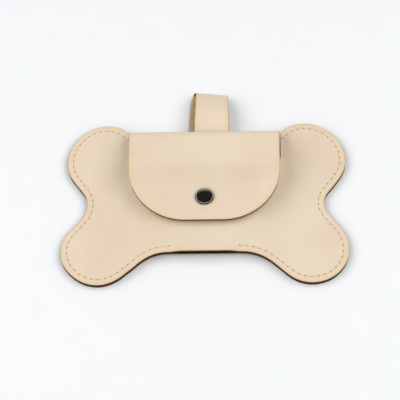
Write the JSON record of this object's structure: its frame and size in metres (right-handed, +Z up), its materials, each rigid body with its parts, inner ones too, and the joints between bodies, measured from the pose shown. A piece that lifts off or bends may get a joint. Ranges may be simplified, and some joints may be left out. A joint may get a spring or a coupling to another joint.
{
  "type": "dog poop bag dispenser",
  "caption": "Flat bone-shaped leather pouch with a snap-down flap and a hanging loop, holding a roll of waste bags that pull out through an unsewn slot in the lower edge.",
  "frame": {"origin": "on the underside of the strap's lower sewn end, which is the face that the pouch lies on, under the middle of the bone", "axes": "+X along the bone to the right, +Y from the bag slot to the hanging loop, +Z up through the front of the pouch as it lies on its back"},
  "size_m": [0.1492, 0.1138, 0.0176],
  "materials": {
    "leather": "smooth pale natural leather, soft sheen, darker cut edges",
    "thread": "waxed thread in the leather's colour",
    "polished_metal": "polished nickel plate",
    "snap_metal": "plated sheet metal and spring wire",
    "bag_film": "thin black plastic film, slightly satin"
  },
  "bodies": {
    "pouch": {"back_panel": "leather", "back_fold": "leather", "front_panel": "leather", "seam_thread_left": "thread", "seam_thread_right": "thread", "snap_stud": "snap_metal", "snap_eyelet": "snap_metal", "loop_strap_ends": "leather", "loop_thread": "thread"},
    "flap": {"flap": "leather", "snap_cap": "polished_metal", "snap_socket": "snap_metal", "snap_spring": "snap_metal"},
    "loop": {"hanging_loop": "leather"},
    "roll": {"bag_roll": "bag_film"},
    "bag_end": {"loose_bag_end": "bag_film"}
  },
  "joints": [
    {"name": "flap_hinge", "type": "hinge", "parent": "pouch", "child": "flap", "pos_m": [0, 0.03843, 0.01038], "axis": [-1, 0, 0], "range_deg": [0, 110]},
    {"name": "loop_swing", "type": "hinge", "parent": "pouch", "child": "loop", "pos_m": [0, 0.0322, 0], "axis": [-1, 0, 0], "range_deg": [0, 80]},
    {"name": "bag_pull", "type": "slide", "parent": "pouch", "child": "bag_end", "axis": [0, -1, 0], "range_m": [0, 0.025]},
    {"name": "roll_spin", "type": "hinge", "parent": "pouch", "child": "roll", "pos_m": [0, 0.0215, 0.0095], "axis": [-1, 0, 0], "range_deg": [0, 319]}
  ],
  "couplings": [
    {"joint": "roll_spin", "follows": "bag_pull", "rad_per_m": 222.22}
  ]
}
